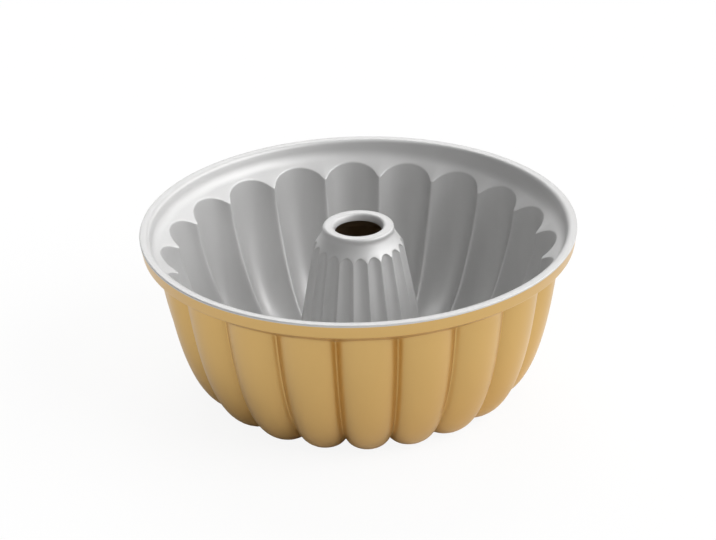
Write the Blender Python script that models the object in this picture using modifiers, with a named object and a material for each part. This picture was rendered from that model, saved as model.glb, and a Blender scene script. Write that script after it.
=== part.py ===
# Fluted tube pan: an aluminium casting with a gold coat outside and a grey release coat inside.
# Metres, +Z up. The origin lies under the centre of the pan, on the surface that it stands on.

from math import atan2, cos, pi, radians, sin, tan

import bmesh
import bpy

mm = 0.001

# Overall size
rim_radius = 130 * mm
pan_height = 106.5 * mm
petal_count = 20
petal_facets = 4  # facets across one petal, an even number
petal_arc = radians(47.7)  # half the angle of the arc that a petal's cross-section follows

# Rim and the plain band below it
rim_width = 5.8 * mm  # flat top of the rim
skirt_depth = 8.9 * mm  # outer face of the rim
skirt_run = 1.6 * mm  # how far that face leans in
step_depth = 5.5 * mm  # step inside the rim
step_run = 1.9 * mm
band_slope = radians(40)
arch_run = 6.5 * mm  # from the step in to the top of a petal's arch
tip_run = 14 * mm  # from the step in to the tip between two arches

# Fluted wall and floor
wall = 3.5 * mm  # across a petal's crest, coats included
wall_lean = radians(5.6)
ridge_wall = 4 * mm  # between a ridge's tip and the groove behind it
ridge_drop = 1 * mm  # how far below the ridge's tip its groove starts
crown_shoulder = 2 * mm  # how far below its arch a petal leaves the rim outside
petal_fillet = 1 * mm  # where the petals meet the underside of the rim
crown_radius = 75.2 * mm  # ring on which the petals reach lowest
crease_radius = 72 * mm  # ring on which grooves and ridges reach lowest
groove_floor = 4.2 * mm  # height of a groove at that ring
crease_wall = 5.3 * mm  # between that groove and the ridge above it

# Centre tube
tube_radius = 26.35 * mm  # over the arrises, at the shoulder
tube_taper = radians(10.4)
tube_foot = 26.5 * mm  # height at which the tube runs out into the floor
flute_depth = 1.8 * mm  # at the shoulder
foot_flute_depth = 3.4 * mm
shoulder_run = 1.05 * mm  # from the shoulder out to the arrises
shoulder_drop = 8 * mm  # from the rim's level to the shoulder
flute_arch_drop = 2 * mm  # from the shoulder to the top of a flute's arch
flute_tip_drop = 4.6 * mm  # from the shoulder to the tip between two arches
flute_ceiling = 1 * mm  # height over which a flute reaches its depth
lip_radius = 21.1 * mm
lip_height = 3.5 * mm
neck_run = 1.5 * mm
neck_drop = 2 * mm
hole_radius = 15.5 * mm
hole_depth = 6.1 * mm

# Fullness of the curves from wall to floor, as shares of their height and of their width
petal_fullness = (0.395, 0.78)
groove_fullness = (0.395, 0.64)
ridge_fullness = (0.36, 0.4)
tube_fullness = (0.5, 0.6)
wall_steps = 5
floor_steps = 4

# Coats and the flats that the pan stands on
coat = 0.3 * mm
coat_gap = 0.3 * mm
pad_reach = 3 * mm  # from a flat's centre to its corners
pad_clearance = 0.5 * mm  # from those corners to the coat's opening
pad_proud = 0.2 * mm  # how far the flats stand out of the coat

gold = (0.54, 0.35, 0.12, 1)
release_grey = (0.38, 0.38, 0.37, 1)
bare_aluminium = (0.68, 0.69, 0.7, 1)
smooth_below = radians(38)

skin = coat + coat_gap
petal_angle = 2 * pi / petal_count
column_angle = petal_angle / petal_facets


def ring(radius, height):
    # A round row: the same point at the petals' crests and at the creases between them
    return (radius, height), (radius, height)


def sweep(start, lean, end, fullness, steps):
    # Points of a cubic curve that leaves start downwards, leaning towards end, and arrives level at end
    drop = (start[1] - end[1]) * fullness[0]
    run = (end[0] - start[0]) * fullness[1]
    side = 1 if end[0] > start[0] else -1
    leave = (start[0] + side * drop * sin(lean), start[1] - drop * cos(lean))
    arrive = (end[0] - run, end[1])
    points = []
    for step in range(steps + 1):
        t = step / steps
        weights = ((1 - t) ** 3, 3 * (1 - t) ** 2 * t, 3 * (1 - t) * t ** 2, t ** 3)
        corners = (start, leave, arrive, end)
        points.append(tuple(sum(w * c[axis] for w, c in zip(weights, corners)) for axis in (0, 1)))
    return points


def section():
    # The pan's outline in section, once round: over the rim, through the cavity, over the tube, through
    # its hole, and back outside. Each row holds a point at a petal's crest and one at a crease.
    step_foot = (rim_radius - rim_width - step_run, pan_height - step_depth)
    arch = (step_foot[0] - arch_run, step_foot[1] - arch_run * tan(band_slope))
    tip = (step_foot[0] - tip_run, step_foot[1] - tip_run * tan(band_slope))
    shoulder = pan_height - shoulder_drop
    shoulder_radius = tube_radius - shoulder_run
    arris_top = shoulder - flute_tip_drop
    arris_foot = (tube_radius + (arris_top - tube_foot) * tan(tube_taper), tube_foot)
    flute_foot = (arris_foot[0] - foot_flute_depth, tube_foot)
    flute_top = (tube_radius - flute_depth, shoulder - flute_arch_drop - flute_ceiling)
    flute_taper = atan2(flute_foot[0] - flute_top[0], flute_top[1] - flute_foot[1])
    arch_run_out = shoulder_run * flute_arch_drop / flute_tip_drop
    flute_arch = (shoulder_radius + arch_run_out, shoulder - flute_arch_drop)
    ceiling_arris = (tube_radius + flute_ceiling * tan(tube_taper), arris_top - flute_ceiling)

    cavity_floor = ((crown_radius, pad_proud + wall), (crease_radius, groove_floor + crease_wall))
    wall_down = list(zip(
        sweep(arch, wall_lean, cavity_floor[0], petal_fullness, wall_steps),
        sweep(tip, wall_lean, cavity_floor[1], ridge_fullness, wall_steps),
    ))
    tube_down = list(zip(
        sweep(flute_foot, flute_taper, cavity_floor[0], tube_fullness, floor_steps),
        sweep(arris_foot, tube_taper, cavity_floor[1], tube_fullness, floor_steps),
    ))
    inside = [ring(rim_radius, pan_height), ring(rim_radius - rim_width, pan_height), ring(*step_foot)]
    inside += wall_down[:-1] + tube_down[::-1]
    inside += [(flute_top, ceiling_arris), (flute_arch, (tube_radius, arris_top))]
    inside += [ring(shoulder_radius, shoulder)]
    inside += [ring(lip_radius + neck_run, pan_height - lip_height - neck_drop)]
    inside += [ring(lip_radius, pan_height - lip_height), ring(lip_radius, pan_height)]
    inside += [ring(hole_radius, pan_height)]

    hole_bottom = pan_height - hole_depth
    ledge_radius = (hole_radius + lip_radius) / 2
    cone_top = ring(flute_top[0] - wall, flute_top[1])
    cone_foot = (flute_foot[0] - wall, flute_foot[1] - wall / 2)
    outer_floor = ((crown_radius, pad_proud), (crease_radius, groove_floor))
    petal_top = (arch[0] + wall, arch[1] - crown_shoulder)
    groove_top = (tip[0] + ridge_wall, tip[1] - ridge_drop)
    outer_wall = list(zip(
        sweep(petal_top, wall_lean, outer_floor[0], petal_fullness, wall_steps),
        sweep(groove_top, wall_lean, outer_floor[1], groove_fullness, wall_steps),
    ))
    under_tube = list(zip(
        sweep(cone_foot, flute_taper, outer_floor[0], tube_fullness, floor_steps),
        sweep(cone_foot, flute_taper, outer_floor[1], tube_fullness, floor_steps),
    ))
    outside = [ring(hole_radius, hole_bottom), ring(ledge_radius, hole_bottom), cone_top]
    outside += under_tube
    crown_row = len(inside) + len(outside) - 1
    outside += outer_wall[-2::-1]
    outside += [tuple((radius + petal_fillet, height + petal_fillet) for radius, height in (petal_top, groove_top))]
    outside += [ring(rim_radius - skirt_run, pan_height - skirt_depth)]
    return inside, outside, crown_row


def petal_share(azimuth):
    # 1 on a petal's crest, 0 in the crease between two petals, and a circle's arc in between
    across = azimuth / petal_angle
    from_crest = abs(across - round(across)) * 2
    return (cos(from_crest * petal_arc) - cos(petal_arc)) / (1 - cos(petal_arc))


def fluted_surface(rows, closed):
    # The rows spun round the pan's axis, each ring then pushed into its petals
    surface = bmesh.new()
    row_of = surface.verts.layers.int.new("row")
    line = []
    for index, (crest, crease) in enumerate(rows):
        vert = surface.verts.new((crease[0], 0, crease[1]))
        vert[row_of] = index
        line.append(vert)
    edges = [surface.edges.new(pair) for pair in zip(line, line[1:])]
    if closed:
        edges.append(surface.edges.new((line[-1], line[0])))
    # Turned clockwise, the faces point out of the metal
    bmesh.ops.spin(
        surface, geom=line + edges, axis=(0, 0, 1), cent=(0, 0, 0),
        angle=-2 * pi, steps=petal_count * petal_facets, use_merge=True,
    )
    crests = {}
    for vert in surface.verts:
        crest, crease = rows[vert[row_of]]
        column = round(atan2(vert.co.y, vert.co.x) / column_angle)
        azimuth = column * column_angle
        share = petal_share(azimuth)
        radius = crease[0] + (crest[0] - crease[0]) * share
        height = crease[1] + (crest[1] - crease[1]) * share
        vert.co = (radius * cos(azimuth), radius * sin(azimuth), height)
        if column % petal_facets == 0:
            crests.setdefault(vert[row_of], []).append(vert)
    surface.normal_update()
    return surface, crests


def sink_surface(surface, depth):
    # Every face moves in by the same depth
    moves = [(vert, vert.normal * vert.calc_shell_factor() * depth) for vert in surface.verts]
    for vert, move in moves:
        vert.co -= move
    surface.normal_update()


def cut_crowns(surface, crowns, reach):
    # Each crown's vertex opens into a small four-cornered face
    cut = bmesh.ops.bevel(
        surface, geom=crowns, offset=reach, offset_type="OFFSET", affect="VERTICES",
        segments=1, profile=0.5, clamp_overlap=True,
    )
    return cut["faces"]


def material(name, colour, metallic, roughness):
    made = bpy.data.materials.new(name)
    made.use_nodes = True
    shader = made.node_tree.nodes["Principled BSDF"]
    shader.inputs["Base Color"].default_value = colour
    shader.inputs["Metallic"].default_value = metallic
    shader.inputs["Roughness"].default_value = roughness
    made.diffuse_color = colour
    return made


def add_object(name, surface, finish, collection, parent):
    mesh = bpy.data.meshes.new(name)
    surface.to_mesh(mesh)
    surface.free()
    mesh.materials.append(finish)
    mesh.shade_smooth()
    mesh.set_sharp_from_angle(angle=smooth_below)
    made = bpy.data.objects.new(name, mesh)
    made.parent = parent
    collection.objects.link(made)
    return made


def add_coat(name, surface, finish, collection, parent):
    made = add_object(name, surface, finish, collection, parent)
    thicken = made.modifiers.new("Coat thickness", "SOLIDIFY")
    thicken.thickness = coat
    thicken.offset = -1
    thicken.use_even_offset = True
    thicken.use_rim = True
    return made


def add_casting(inside, outside, crown_row, collection, parent):
    # The whole outline, moved in by a coat and its gap, with a flat under each petal
    surface, crests = fluted_surface(inside + outside, closed=True)
    sink_surface(surface, skin)
    flats = cut_crowns(surface, crests[crown_row], pad_reach)
    drawn = bmesh.ops.extrude_discrete_faces(surface, faces=flats)
    for flat in drawn["faces"]:
        for vert in flat.verts:
            vert.co.z = 0
    bmesh.ops.recalc_face_normals(surface, faces=surface.faces)
    finish = material("bare aluminium", bare_aluminium, 1, 0.4)
    return add_object("pan_casting", surface, finish, collection, parent)


def add_inner_coat(inside, collection, parent):
    # It ends at the bottom of the hole, just short of the outer coat
    rows = inside + [ring(hole_radius, pan_height - hole_depth + skin)]
    surface, _ = fluted_surface(rows, closed=False)
    finish = material("release coat", release_grey, 0.6, 0.42)
    return add_coat("inner_coat", surface, finish, collection, parent)


def add_outer_coat(inside, outside, crown_row, collection, parent):
    # It ends at the rim's outer edge, just short of the inner coat, and is open around the flats
    rows = outside + [ring(rim_radius, pan_height - skin)]
    surface, crests = fluted_surface(rows, closed=False)
    openings = cut_crowns(surface, crests[crown_row - len(inside)], pad_reach + pad_clearance)
    bmesh.ops.delete(surface, geom=openings, context="FACES")
    finish = material("gold coat", gold, 0.7, 0.38)
    return add_coat("outer_coat", surface, finish, collection, parent)


def main():
    for old in list(bpy.data.objects):
        bpy.data.objects.remove(old, do_unlink=True)
    pan = bpy.data.collections.new("fluted_tube_pan")
    bpy.context.scene.collection.children.link(pan)
    centre = bpy.data.objects.new("pan_centre", None)
    pan.objects.link(centre)
    inside, outside, crown_row = section()
    add_casting(inside, outside, crown_row, pan, centre)
    add_inner_coat(inside, pan, centre)
    add_outer_coat(inside, outside, crown_row, pan, centre)


main()
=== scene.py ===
# Fluted tube pan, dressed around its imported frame. Blender units are metres, +Z up.
import bpy
from math import atan2, cos, hypot, pi, radians, sin, sqrt, tan
from mathutils import Matrix, Vector


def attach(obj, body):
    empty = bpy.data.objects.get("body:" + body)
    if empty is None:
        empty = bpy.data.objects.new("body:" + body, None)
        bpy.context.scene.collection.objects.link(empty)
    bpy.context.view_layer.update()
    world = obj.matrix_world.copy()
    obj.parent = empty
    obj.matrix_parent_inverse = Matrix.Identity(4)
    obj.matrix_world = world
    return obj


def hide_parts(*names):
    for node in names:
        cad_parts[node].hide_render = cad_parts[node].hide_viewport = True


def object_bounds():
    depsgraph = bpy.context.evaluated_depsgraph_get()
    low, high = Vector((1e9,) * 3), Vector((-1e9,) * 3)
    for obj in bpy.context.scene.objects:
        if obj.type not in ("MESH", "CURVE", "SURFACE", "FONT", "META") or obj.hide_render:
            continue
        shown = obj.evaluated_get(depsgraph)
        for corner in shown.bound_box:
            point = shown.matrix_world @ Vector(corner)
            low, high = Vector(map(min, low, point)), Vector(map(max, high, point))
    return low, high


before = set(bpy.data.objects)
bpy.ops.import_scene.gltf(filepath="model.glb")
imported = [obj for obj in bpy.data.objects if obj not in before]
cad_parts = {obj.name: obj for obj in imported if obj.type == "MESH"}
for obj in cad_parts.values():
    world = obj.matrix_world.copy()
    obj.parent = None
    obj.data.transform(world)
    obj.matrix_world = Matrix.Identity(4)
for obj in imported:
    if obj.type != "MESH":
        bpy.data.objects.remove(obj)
cadLow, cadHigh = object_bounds()
print("frame loaded:", ", ".join(sorted(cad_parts)))

mm = 0.001

# The camera stands where the photograph's did
photoView = {
    "elevation": 26.457,    # degrees above the horizon
    "turn": -1.54,          # degrees round the pan's axis
    "roll": -1.62,          # degrees about the line of sight
    "distance": 1.7,        # from the aim point, in metres
    "aimRight": -0.000856,  # the aim point, off the centre of the rim's top
    "aimUp": -0.02702,
    "lens": 143.98,         # lens and sensor in mm
    "sensorWidth": 36,
    "farthest": 100,        # how far the camera sees, in metres
}


def placeCamera():
    tilt = radians(photoView["elevation"])
    forward = Vector((0, cos(tilt), -sin(tilt)))
    up = Vector((0, sin(tilt), cos(tilt)))
    right = Vector((1, 0, 0))
    aim = Vector((0, 0, cadHigh.z)) + right * photoView["aimRight"] + up * photoView["aimUp"]
    place = Matrix((right, up, -forward)).transposed().to_4x4()
    place.translation = aim - forward * photoView["distance"]
    turned = Matrix.Rotation(radians(photoView["turn"]), 4, "Z") @ place
    data = bpy.data.cameras.new("photoCamera")
    data.lens = photoView["lens"]
    data.sensor_width = photoView["sensorWidth"]
    data.clip_end = photoView["farthest"]
    camera = bpy.data.objects.new("photoCamera", data)
    bpy.context.scene.collection.objects.link(camera)
    camera.matrix_world = turned @ Matrix.Rotation(radians(photoView["roll"]), 4, "Z")
    bpy.context.scene.camera = camera


placeCamera()
print("camera placed")

# Lengths of the pan are in mm. Its section is a list of corners, each with a place on a petal's crest
# and one in the crease beside it, both as radius and height.

petals = {
    "count": 20,
    # the columns of points across half a petal, from 0 at its crest to 1 in the crease
    "columns": (0, 0.16, 0.32, 0.47, 0.61, 0.73, 0.83, 0.9, 0.94, 0.97, 1),
}

rim = {
    "radius": 130, "height": 106.5,
    "width": 5.5,                        # of its flat top
    "skirtDepth": 8.9, "skirtRun": 1.6,  # the skirt goes down by this and in by this
    "coatSeam": 1.4,                     # the coats meet this far below the top
}

hole = {
    "radius": 15.3, "edgeRound": 1.6,
    "waist": 13.9, "waistRound": 0.4,    # its radius and rounding at the lower edge
    "depth": 4.3,
    "turn": 0.8,                         # the coats meet this far out under the lower edge
}


def corner(crest, crease=None, rounding=0, steps=1):
    return {
        "crest": crest, "crease": crease or crest,
        "rounding": rounding, "steps": steps,
        "fullness": 1,  # under 1, the petals stay near their crest for longer
    }


def blend(start, end, share):
    return tuple(a + (b - a) * share for a, b in zip(start, end))


def sweep(start, lean, end, fullness, steps):
    # A curve that leaves start downwards, leaning towards end, and arrives level at end
    drop = (start[1] - end[1]) * fullness[0]
    run = (end[0] - start[0]) * fullness[1]
    side = 1 if end[0] > start[0] else -1
    leaving = (start[0] + side * drop * sin(lean), start[1] - drop * cos(lean))
    arriving = (end[0] - run, end[1])
    holds = (start, leaving, arriving, end)
    points = []
    for step in range(steps + 1):
        t = step / steps
        weights = ((1 - t) ** 3, 3 * (1 - t) ** 2 * t, 3 * (1 - t) * t ** 2, t ** 3)
        points.append(tuple(sum(w * p[axis] for w, p in zip(weights, holds)) for axis in (0, 1)))
    return points


def pairedSweeps(crestSweep, creaseSweep):
    return [corner(crest, crease) for crest, crease in zip(crestSweep, creaseSweep)]


def seamCorner():
    # Where the two coats meet on the skirt
    inwards = rim["skirtRun"] * rim["coatSeam"] / rim["skirtDepth"]
    return corner((rim["radius"] - inwards, rim["height"] - rim["coatSeam"]))


def holeTurnCorner():
    # Where they meet under the hole
    return corner((hole["waist"] + hole["turn"], rim["height"] - hole["depth"]))


insideShape = {
    "arc": 50,           # half the angle of a petal's arc, in degrees
    "ridgeRound": 0.13,  # share of half a petal over which the ridge between two petals is rounded
    "rimEdge": 1, "rimInnerEdge": 2.3,
    "stepFoot": (122.2, 97.4), "stepRound": 4.4,  # where the wall under the rim turns into the band
    "arch": (118, 94), "archTip": (108.6, 87.7), "archRound": 0.8,
    "archFullness": 0.75, "archFade": 9,  # the petals are fuller at their tops, over so many rows
    "hollowLean": 9.6, "hollow": (75.2, 3.5), "hollowFullness": (0.395, 0.78),
    "ridgeLean": 7.3, "ridge": (72, 9.5), "ridgeFullness": (0.35, 0.4),
    "tubeTaper": 10.4, "tubeFoot": 26.5, "tubeFullness": (0.5, 0.6),
    "tooth": (26.9, 93.2),  # the tip between two flutes of the tube
    "archAbove": 2.9,       # from there up to the flutes' arches
    "flareTop": (23, 99), "flareRound": 2.5,
    "footFluteDepth": 3.4, "fluteRows": (0.3, 0.6, 0.85),
    "fluteCeiling": 1.1, "fluteCeilingRun": 0.4, "fluteRound": 0.4,
    "lipRadius": 21.3, "lipHeight": 3.6, "lipFootRound": 1.2, "lipRound": 2.1,
    "wallSteps": 26, "floorSteps": 18,
}


def insideCorners():
    # From the seam over the rim, down the petals, up the tube and into the hole
    s = insideShape
    top = rim["height"]
    taper = radians(s["tubeTaper"])
    toothRadius, toothHeight = s["tooth"]
    toothFoot = (toothRadius + (toothHeight - s["tubeFoot"]) * tan(taper), s["tubeFoot"])
    fluteFoot = (toothFoot[0] - s["footFluteDepth"], s["tubeFoot"])
    flareSlope = (toothRadius - s["flareTop"][0]) / (s["flareTop"][1] - toothHeight)
    fluteArch = (toothRadius - s["archAbove"] * flareSlope, toothHeight + s["archAbove"])
    fluteTop = (fluteArch[0] - s["fluteCeilingRun"], fluteArch[1] - s["fluteCeiling"])
    toothSide = (toothRadius + s["fluteCeiling"] * tan(taper), toothHeight - s["fluteCeiling"])
    fluteTaper = atan2(fluteFoot[0] - fluteTop[0], fluteTop[1] - fluteFoot[1])
    wallDown = pairedSweeps(
        sweep(s["arch"], radians(s["hollowLean"]), s["hollow"], s["hollowFullness"], s["wallSteps"]),
        sweep(s["archTip"], radians(s["ridgeLean"]), s["ridge"], s["ridgeFullness"], s["wallSteps"]),
    )
    wallDown[0].update(rounding=s["archRound"], steps=5)
    for row in range(s["archFade"]):
        # So each arch is broad and its tips are short
        faded = (row / s["archFade"]) ** 2
        wallDown[row]["fullness"] = s["archFullness"] + (1 - s["archFullness"]) * faded
    tubeDown = pairedSweeps(
        sweep(fluteFoot, fluteTaper, s["hollow"], s["tubeFullness"], s["floorSteps"]),
        sweep(toothFoot, taper, s["ridge"], s["tubeFullness"], s["floorSteps"]),
    )
    fluteRows = [
        corner(blend(fluteFoot, fluteTop, share), blend(toothFoot, toothSide, share))
        for share in s["fluteRows"]
    ]
    return [
        seamCorner(),
        corner((rim["radius"], top), rounding=s["rimEdge"], steps=4),
        corner((rim["radius"] - rim["width"], top), rounding=s["rimInnerEdge"], steps=4),
        corner(s["stepFoot"], rounding=s["stepRound"], steps=7),
        *wallDown[:-1],
        *tubeDown[::-1],
        *fluteRows,
        corner(fluteTop, toothSide, rounding=s["fluteRound"], steps=3),
        corner(fluteArch, s["tooth"], rounding=s["fluteRound"], steps=3),
        corner(s["flareTop"], rounding=s["flareRound"], steps=5),
        corner((s["lipRadius"], top - s["lipHeight"]), rounding=s["lipFootRound"], steps=4),
        corner((s["lipRadius"], top), rounding=s["lipRound"], steps=5),
        corner((hole["radius"], top), rounding=hole["edgeRound"], steps=5),
        corner((hole["waist"], top - hole["depth"]), rounding=hole["waistRound"], steps=2),
        holeTurnCorner(),
    ]


outsideShape = {
    "arc": 61,
    "grooveRound": 0.065,  # as the ridge's, for the groove between two petals
    "fullness": 0.88,
    "ledge": 2.8, "ledgeRound": 0.6,  # under the hole, out to the inside of the tube
    "coneTop": (21.05, 95.5), "coneTopRound": 1, "coneRows": (0.25, 0.5, 0.75),
    "coneFoot": (32.2, 24.75), "coneTaper": 9.2, "floorFullness": (0.5, 0.6),
    "crown": (75.2, -0.12), "groove": (72, 4.2),  # the lowest places on a petal and beside it
    "petalLean": 8.5, "petalTop": (120.9, 92.6), "petalFullness": (0.395, 0.71),
    "grooveLean": 5.6, "grooveTop": (111.8, 87), "grooveFullness": (0.395, 0.64),
    "petalRound": 1.6, "skirtRound": 0.7,
    "wallSteps": 26, "floorSteps": 18,
}


def outsideCorners():
    # From the hole down inside the tube, over the floor and up the petals to the seam
    s = outsideShape
    coneTaper = radians(s["coneTaper"])
    underTube = pairedSweeps(
        sweep(s["coneFoot"], coneTaper, s["crown"], s["floorFullness"], s["floorSteps"]),
        sweep(s["coneFoot"], coneTaper, s["groove"], s["floorFullness"], s["floorSteps"]),
    )
    wallUp = pairedSweeps(
        sweep(s["petalTop"], radians(s["petalLean"]), s["crown"], s["petalFullness"], s["wallSteps"]),
        sweep(s["grooveTop"], radians(s["grooveLean"]), s["groove"], s["grooveFullness"], s["wallSteps"]),
    )[::-1]
    for row in wallUp[1:]:
        row["fullness"] = s["fullness"]
    wallUp[-1].update(rounding=s["petalRound"], steps=4)
    ledgeEnd = (hole["waist"] + s["ledge"], rim["height"] - hole["depth"])
    skirtFoot = (rim["radius"] - rim["skirtRun"], rim["height"] - rim["skirtDepth"])
    return [
        holeTurnCorner(),
        corner(ledgeEnd, rounding=s["ledgeRound"], steps=3),
        corner(s["coneTop"], rounding=s["coneTopRound"], steps=3),
        *(corner(blend(s["coneTop"], s["coneFoot"], share)) for share in s["coneRows"]),
        *underTube,
        *wallUp[1:],
        corner(skirtFoot, rounding=s["skirtRound"], steps=3),
        seamCorner(),
    ]


def petalShare(across, arc, rounded):
    # 1 on a petal's crest and 0 in the crease: a circle's arc whose last stretch levels out
    def arcShare(place):
        return (sqrt(1 - (place * sin(arc)) ** 2) - cos(arc)) / (1 - cos(arc))

    start = 1 - rounded
    slope = start * sin(arc) ** 2 / sqrt(1 - (start * sin(arc)) ** 2) / (1 - cos(arc))
    lowest = arcShare(start) - slope * rounded / 2
    past = max(0, across - start) / rounded
    share = arcShare(min(across, start)) - slope * rounded * (past - past * past / 2)
    return (share - lowest) / (1 - lowest)


def sectionLine(corners, share):
    # The line through the corners at one place across a petal, with its corners rounded
    points = [blend(c["crease"], c["crest"], share ** c["fullness"]) for c in corners]
    line = []
    for index, (c, here) in enumerate(zip(corners, points)):
        if not c["rounding"]:
            line.append(here)
            continue
        ends = []
        for other in (points[index - 1], points[index + 1]):
            apart = hypot(other[0] - here[0], other[1] - here[1])
            ends.append(blend(here, other, c["rounding"] / apart))
        for step in range(c["steps"] + 1):
            t = step / c["steps"]
            line.append(blend(blend(ends[0], here, t), blend(here, ends[1], t), t))
    return line


drawing = {
    "seedSize": mm / 10,     # each line grows from a plane of this size, merged to one point
    "petalMerge": mm / 100,  # points nearer than this are merged, along a petal's middle
    "seamMerge": mm / 50,    # and where petals or coats meet
    "levelWithin": mm / 4,   # faces this near a height lie at it
}


def deselectAll():
    if bpy.context.object and bpy.context.object.mode != "OBJECT":
        bpy.ops.object.mode_set(mode="OBJECT")
    bpy.ops.object.select_all(action="DESELECT")


def makeActive(piece):
    deselectAll()
    piece.select_set(True)
    bpy.context.view_layer.objects.active = piece


def drawLines(name, lines):
    # Each line is extruded point by point
    deselectAll()
    bpy.ops.mesh.primitive_plane_add(size=drawing["seedSize"], location=lines[0][0])
    sheet = bpy.context.object
    sheet.name = name
    sheet.data.transform(sheet.matrix_world)
    sheet.matrix_world = Matrix.Identity(4)
    bpy.ops.object.mode_set(mode="EDIT")
    for index, line in enumerate(lines):
        if index:
            bpy.ops.mesh.primitive_plane_add(size=drawing["seedSize"], location=line[0])
        bpy.ops.mesh.merge(type="CENTER")
        for here, there in zip(line, line[1:]):
            bpy.ops.mesh.extrude_region_move(TRANSFORM_OT_translate={"value": there - here})
        bpy.ops.mesh.select_all(action="DESELECT")
    bpy.ops.mesh.select_mode(type="EDGE")
    bpy.ops.object.mode_set(mode="OBJECT")
    return sheet


def bridgeLines(sheet, azimuths):
    # Every two lines side by side get the faces between them
    columnOf = []
    for vert in sheet.data.vertices:
        here = atan2(vert.co.y, vert.co.x)
        columnOf.append(min(range(len(azimuths)), key=lambda column: abs(azimuths[column] - here)))
    for column in range(len(azimuths) - 1):
        for edge in sheet.data.edges:
            start, end = (columnOf[vert] for vert in edge.vertices)
            edge.select = start == end and start in (column, column + 1)
        bpy.ops.object.mode_set(mode="EDIT")
        bpy.ops.mesh.bridge_edge_loops()
        bpy.ops.mesh.select_all(action="DESELECT")
        bpy.ops.object.mode_set(mode="OBJECT")


def petalSheet(name, corners, arc, rounded):
    # One petal as a sheet: its section drawn at every column of half a petal, bridged, mirrored
    azimuths = [across * pi / petals["count"] for across in petals["columns"]]
    lines = []
    for across, azimuth in zip(petals["columns"], azimuths):
        line = sectionLine(corners, petalShare(across, radians(arc), rounded))
        lines.append([Vector((r * cos(azimuth), r * sin(azimuth), z)) * mm for r, z in line])
    sheet = drawLines(name, lines)
    bridgeLines(sheet, azimuths)
    bpy.ops.object.mode_set(mode="EDIT")
    bpy.ops.mesh.select_mode(type="VERT")
    bpy.ops.mesh.select_all(action="SELECT")
    bpy.ops.mesh.duplicate()
    bpy.ops.transform.resize(value=(1, -1, 1), center_override=(0, 0, 0))
    bpy.ops.mesh.select_all(action="SELECT")
    bpy.ops.mesh.remove_doubles(threshold=drawing["petalMerge"])
    bpy.ops.object.mode_set(mode="OBJECT")
    return sheet


def spinPetals(sheet):
    # The petal copied round the pan's axis, its seams closed
    makeActive(sheet)
    bpy.ops.object.mode_set(mode="EDIT")
    bpy.ops.mesh.select_all(action="SELECT")
    turns = petals["count"] - 1
    angle = turns * 2 * pi / petals["count"]
    bpy.ops.mesh.spin(steps=turns, dupli=True, angle=angle, center=(0, 0, 0), axis=(0, 0, 1))
    bpy.ops.mesh.select_all(action="SELECT")
    bpy.ops.mesh.remove_doubles(threshold=drawing["seamMerge"])
    bpy.ops.mesh.normals_make_consistent(inside=False)
    bpy.ops.object.mode_set(mode="OBJECT")


def faceOut(sheet, height, up):
    # Turns the sheet over if its level faces at a height look the wrong way: up is 1, or -1 for down
    near = drawing["levelWithin"]
    level = [face for face in sheet.data.polygons if abs(face.center.z - height * mm) < near]
    if sum(face.normal.z * face.area for face in level) * up < 0:
        makeActive(sheet)
        bpy.ops.object.mode_set(mode="EDIT")
        bpy.ops.mesh.select_all(action="SELECT")
        bpy.ops.mesh.flip_normals()
        bpy.ops.object.mode_set(mode="OBJECT")


def flattenCrowns(sheet):
    # The petals' crowns, drawn a little too low, are pressed flat where the pan stands on them
    makeActive(sheet)
    bpy.ops.object.mode_set(mode="EDIT")
    bpy.ops.mesh.select_mode(type="VERT")
    bpy.ops.mesh.select_all(action="DESELECT")
    bpy.ops.object.mode_set(mode="OBJECT")
    for vert in sheet.data.vertices:
        vert.select = vert.co.z < 0
    bpy.ops.object.mode_set(mode="EDIT")
    bpy.ops.transform.resize(value=(1, 1, 0), center_override=(0, 0, 0))
    bpy.ops.object.mode_set(mode="OBJECT")


def copyOf(piece, name):
    makeActive(piece)
    bpy.ops.object.duplicate()
    copy = bpy.context.object
    copy.name = name
    return copy


coats = {
    "thickness": 0.18,
    "coreDepth": 0.24,  # from the coats' faces in to the casting
    "smoothAngle": 40,  # in degrees; edges sharper than this stay sharp
}


def castingCore():
    # Both sheets joined at their seams and drawn in under the coats
    core = copyOf(releaseCoat, "castAluminium")
    other = copyOf(goldCoat, "otherHalf")
    makeActive(core)
    other.select_set(True)
    bpy.ops.object.join()
    bpy.ops.object.mode_set(mode="EDIT")
    bpy.ops.mesh.select_all(action="SELECT")
    bpy.ops.mesh.remove_doubles(threshold=drawing["seamMerge"])
    bpy.ops.mesh.normals_make_consistent(inside=False)
    bpy.ops.transform.shrink_fatten(value=-coats["coreDepth"] * mm, use_even_offset=True)
    bpy.ops.object.mode_set(mode="OBJECT")
    return core


def thicken(coat):
    makeActive(coat)
    wall = coat.modifiers.new("coatThickness", "SOLIDIFY")
    wall.thickness = coats["thickness"] * mm
    wall.offset = -1
    wall.use_even_offset = True
    bpy.ops.object.modifier_apply(modifier=wall.name)


def smooth(piece):
    makeActive(piece)
    bpy.ops.object.shade_smooth_by_angle(angle=radians(coats["smoothAngle"]))


releaseCoat = petalSheet("releaseCoat", insideCorners(), insideShape["arc"], insideShape["ridgeRound"])
spinPetals(releaseCoat)
faceOut(releaseCoat, rim["height"], 1)
print("inside sheet:", len(releaseCoat.data.polygons), "faces")

goldCoat = petalSheet("goldCoat", outsideCorners(), outsideShape["arc"], outsideShape["grooveRound"])
spinPetals(goldCoat)
faceOut(goldCoat, rim["height"] - hole["depth"], -1)
flattenCrowns(goldCoat)
print("outside sheet:", len(goldCoat.data.polygons), "faces")

castAluminium = castingCore()
thicken(releaseCoat)
thicken(goldCoat)
for piece in (releaseCoat, goldCoat, castAluminium):
    smooth(piece)
print("coats and casting made")


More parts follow.
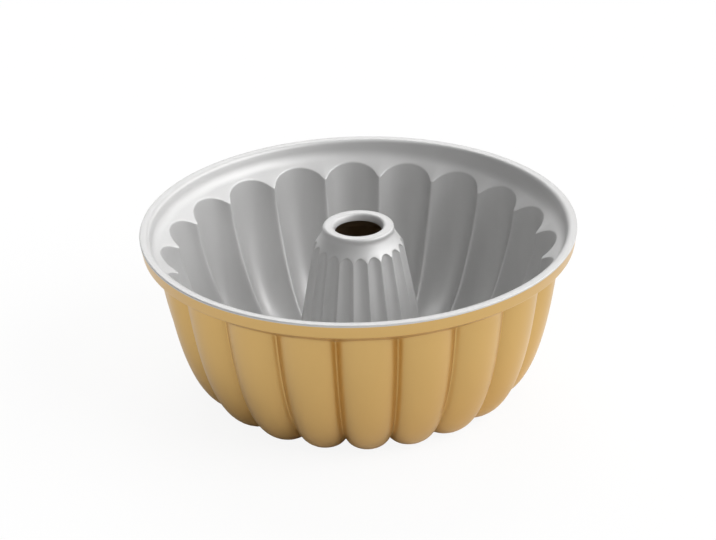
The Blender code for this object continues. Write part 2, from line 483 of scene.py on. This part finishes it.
class Socket:
    # A shader socket that takes part in Python sums
    def __init__(self, finish, out):
        self.finish, self.out = finish, out

    def maths(self, operation, first, second):
        return self.finish.node("ShaderNodeMath", {"operation": operation}, {0: first, 1: second})

    def __add__(self, other):
        return self.maths("ADD", self, other)

    def __mul__(self, other):
        return self.maths("MULTIPLY", self, other)

    def __sub__(self, other):
        return self.maths("SUBTRACT", self, other)

    def __rsub__(self, other):
        return self.maths("SUBTRACT", other, self)

    __radd__ = __add__
    __rmul__ = __mul__


class Finish:
    # The nodes of a material, or of the world
    def __init__(self, name, block=None):
        self.block = block or bpy.data.materials.new(name)
        self.block.use_nodes = True
        self.tree = self.block.node_tree
        self.shader = self.tree.nodes.get("Principled BSDF") or self.tree.nodes["Background"]

    def node(self, kind, settings=None, values=None, output=0):
        made = self.tree.nodes.new(kind)
        for name, value in (settings or {}).items():
            setattr(made, name, value)
        self.feed(made, values or {})
        return Socket(self, made.outputs[output])

    def feed(self, node, values):
        # A value is a number or colour, or a socket to link
        for name, value in values.items():
            if isinstance(value, Socket):
                self.tree.links.new(value.out, node.inputs[name])
            else:
                node.inputs[name].default_value = value

    def mixColour(self, share, first, second):
        # The sockets go by number, because a Mix node has several of each name
        factor, colourA, colourB, result = 0, 6, 7, 2
        colours = {factor: share, colourA: first, colourB: second}
        return self.node("ShaderNodeMix", {"data_type": "RGBA"}, colours, result)

    def place(self):
        return self.node("ShaderNodeTexCoord", output="Object")

    def length(self, vector):
        return self.node("ShaderNodeVectorMath", {"operation": "LENGTH"}, {0: vector}, "Value")

    def between(self, value, low, high, interpolation="LINEAR"):
        # 0 up to low and 1 from high
        limits = {"Value": value, "From Min": low, "From Max": high}
        return self.node("ShaderNodeMapRange", {"interpolation_type": interpolation}, limits)

    def noise(self, place, scale, detail=2):
        values = {"Vector": place, "Scale": scale, "Detail": detail}
        return self.node("ShaderNodeTexNoise", values=values)

    def cells(self, place, scale):
        return self.node("ShaderNodeTexVoronoi", values={"Vector": place, "Scale": scale})

    def bump(self, height, distance, strength):
        values = {"Height": height, "Distance": distance, "Strength": strength}
        return self.node("ShaderNodeBump", values=values)

    def wear(self, piece):
        piece.data.materials.clear()
        piece.data.materials.append(self.block)


# Both coats are sprayed and have the same kind of texture
sprayedFinish = {"peelShare": 0.7, "flakeShare": 0.3, "bumpStrength": 0.35}


def feedSprayed(coat, s, place, flake):
    # Fine metal flake and a faint orange peel
    peel = coat.noise(place, s["peelScale"])
    height = peel * sprayedFinish["peelShare"] + flake * sprayedFinish["flakeShare"]
    coat.feed(coat.shader, {
        "Metallic": s["metallic"],
        "Roughness": s["roughness"] + (flake - 0.5) * s["roughnessSpread"],
        "Normal": coat.bump(height, s["peelDepth"], sprayedFinish["bumpStrength"]),
    })


goldFinish = {
    "colour": (0.64, 0.415, 0.145, 1), "deep": (0.61, 0.39, 0.132, 1),
    "cloudScale": 16, "cloudDetail": 3,
    "hollow": (0.42, 0.31, 0.19, 1),  # painted shade: inside the tube's hollow the coat is darkened, where shade falls
    "paintedShadeRadius": (0.031, 0.036),   # the painted shade ends between these radii, in metres
    "metallic": 0.85, "roughness": 0.37, "roughnessSpread": 0.05,
    "lacquer": 0.3, "lacquerRoughness": 0.3,
    "flakeScale": 2600, "peelScale": 420, "peelDepth": 0.00003,
}


def makeGold():
    s = goldFinish
    gold = Finish("satinGoldCoat")
    place = gold.place()
    flat = gold.node("ShaderNodeVectorMath", {"operation": "MULTIPLY"}, {0: place, 1: (1, 1, 0)})
    # Painted shade: within the hollow's radii the gold is mixed to the darker hollow colour
    pastPaintedShade = gold.between(gold.length(flat), *s["paintedShadeRadius"])
    cloud = gold.noise(place, s["cloudScale"], s["cloudDetail"])
    colour = gold.mixColour(cloud, s["deep"], s["colour"])
    gold.feed(gold.shader, {
        "Base Color": gold.mixColour(pastPaintedShade, s["hollow"], colour),
        "Coat Weight": s["lacquer"],
        "Coat Roughness": s["lacquerRoughness"],
    })
    feedSprayed(gold, s, place, gold.cells(place, s["flakeScale"]))
    gold.wear(goldCoat)


releaseFinish = {
    "colour": (0.602, 0.6, 0.597, 1), "dark": (0.567, 0.565, 0.562, 1),
    "metallic": 0.57, "roughness": 0.55, "roughnessSpread": 0.06,
    "flakeScale": 3000, "peelScale": 520, "peelDepth": 0.00003,
}


def makeRelease():
    s = releaseFinish
    grey = Finish("greyReleaseCoat")
    place = grey.place()
    flake = grey.cells(place, s["flakeScale"])
    grey.feed(grey.shader, {"Base Color": grey.mixColour(flake, s["dark"], s["colour"])})
    feedSprayed(grey, s, place, flake)
    grey.wear(releaseCoat)


castFinish = {
    "bright": (0.7, 0.71, 0.72, 1), "dull": (0.6, 0.61, 0.62, 1),
    "roughness": 0.34, "roughnessSpread": 0.14,
    "grainScale": 900, "grainDetail": 3, "grainDepth": 0.00005, "bumpStrength": 0.4,
}


def makeCast():
    s = castFinish
    cast = Finish("bareCastAluminium")
    grain = cast.noise(cast.place(), s["grainScale"], s["grainDetail"])
    cast.feed(cast.shader, {
        "Base Color": cast.mixColour(grain, s["dull"], s["bright"]),
        "Metallic": 1,
        "Roughness": s["roughness"] + grain * s["roughnessSpread"],
        "Normal": cast.bump(grain, s["grainDepth"], s["bumpStrength"]),
    })
    cast.wear(castAluminium)


makeGold()
makeRelease()
makeCast()
print("materials made")

studio = {
    "floorSize": 24,
    "paper": (0.9, 0.9, 0.9, 1), "paperShade": (0.88, 0.88, 0.88, 1),
    "paperGrain": 3, "paperRoughness": 0.9, "paperGloss": 0.1,
    "whiteShare": 0.9,          # how far the floor looks plain white; the rest shows the shadow
    "mirrorShade": (0.1, 0.3),  # the pan mirrors that white from between these distances outwards
    "horizon": (0.3, 0.3, 0.3, 1), "zenith": (0.18, 0.18, 0.18, 1), "horizonFade": 0.6,
    "lampDistance": 2,
    "lamps": {  # soft lamps: azimuth from the front, height, apparent size, strength
        "frontRightLamp": (65, 36, 42, 1.9),
        "topLamp": (0, 72, 56, 0.6),
        "backLamp": (178, 48, 42, 1.18),
        "lowRightLamp": (116, 12, 60, 1.6),
        "backLeftLamp": (-153, 9, 36, 0.5),
    },
}


def layFloor():
    deselectAll()
    bpy.ops.mesh.primitive_plane_add(size=studio["floorSize"], location=(0, 0, 0))
    floor = bpy.context.object
    floor.name = "paleFloor"
    paper = Finish("palePaper")
    grain = paper.noise(paper.place(), studio["paperGrain"])
    paper.feed(paper.shader, {
        "Base Color": paper.mixColour(grain, studio["paperShade"], studio["paper"]),
        "Roughness": studio["paperRoughness"],
        "Specular IOR Level": studio["paperGloss"],
    })
    # The camera sees the floor nearly plain white, and so does the pan, except where it stands
    mirrored = paper.node("ShaderNodeLightPath", output="Is Glossy Ray")
    mirrored = mirrored + paper.node("ShaderNodeLightPath", output="Is Transmission Ray")
    clear = paper.between(paper.length(paper.place()), *studio["mirrorShade"])
    seen = paper.node("ShaderNodeLightPath", output="Is Camera Ray") + mirrored * clear
    plain = Socket(paper, paper.shader.outputs["BSDF"])
    white = paper.node("ShaderNodeEmission", values={"Color": (1, 1, 1, 1), "Strength": 1})
    whiteness = seen * studio["whiteShare"]
    whitened = paper.node("ShaderNodeMixShader", values={0: whiteness, 1: plain, 2: white})
    paper.feed(paper.tree.nodes["Material Output"], {"Surface": whitened})
    paper.wear(floor)


def lightRoom():
    room = Finish("softRoom", bpy.data.worlds.new("softRoom"))
    bpy.context.scene.world = room.block
    direction = room.node("ShaderNodeTexCoord", output="Generated")
    height = room.node("ShaderNodeSeparateXYZ", values={"Vector": direction}, output="Z")
    upwards = room.between(height, 0, studio["horizonFade"], "SMOOTHSTEP")
    room.feed(room.shader, {"Color": room.mixColour(upwards, studio["horizon"], studio["zenith"])})
    for name, (azimuth, elevation, size, strength) in studio["lamps"].items():
        data = bpy.data.lights.new(name, "SUN")
        data.angle = radians(size)
        data.energy = strength
        lamp = bpy.data.objects.new(name, data)
        bpy.context.scene.collection.objects.link(lamp)
        turn, tilt = radians(azimuth), radians(elevation)
        towards = Vector((sin(turn) * cos(tilt), -cos(turn) * cos(tilt), sin(tilt)))
        lamp.location = towards * studio["lampDistance"]
        lamp.rotation_mode = "QUATERNION"
        lamp.rotation_quaternion = towards.to_track_quat("Z", "Y")


layFloor()
lightRoom()
bpy.context.scene.view_settings.view_transform = "Standard"
print("studio lit")

for piece, node, slot in (
    (castAluminium, "pan_casting", "bare_aluminium"),
    (goldCoat, "outer_coat", "gold_coat"),
    (releaseCoat, "inner_coat", "release_coat"),
):
    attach(piece, "root")
    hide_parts(node)

print("CAD box", [round(v, 4) for v in (*cadLow, *cadHigh)])
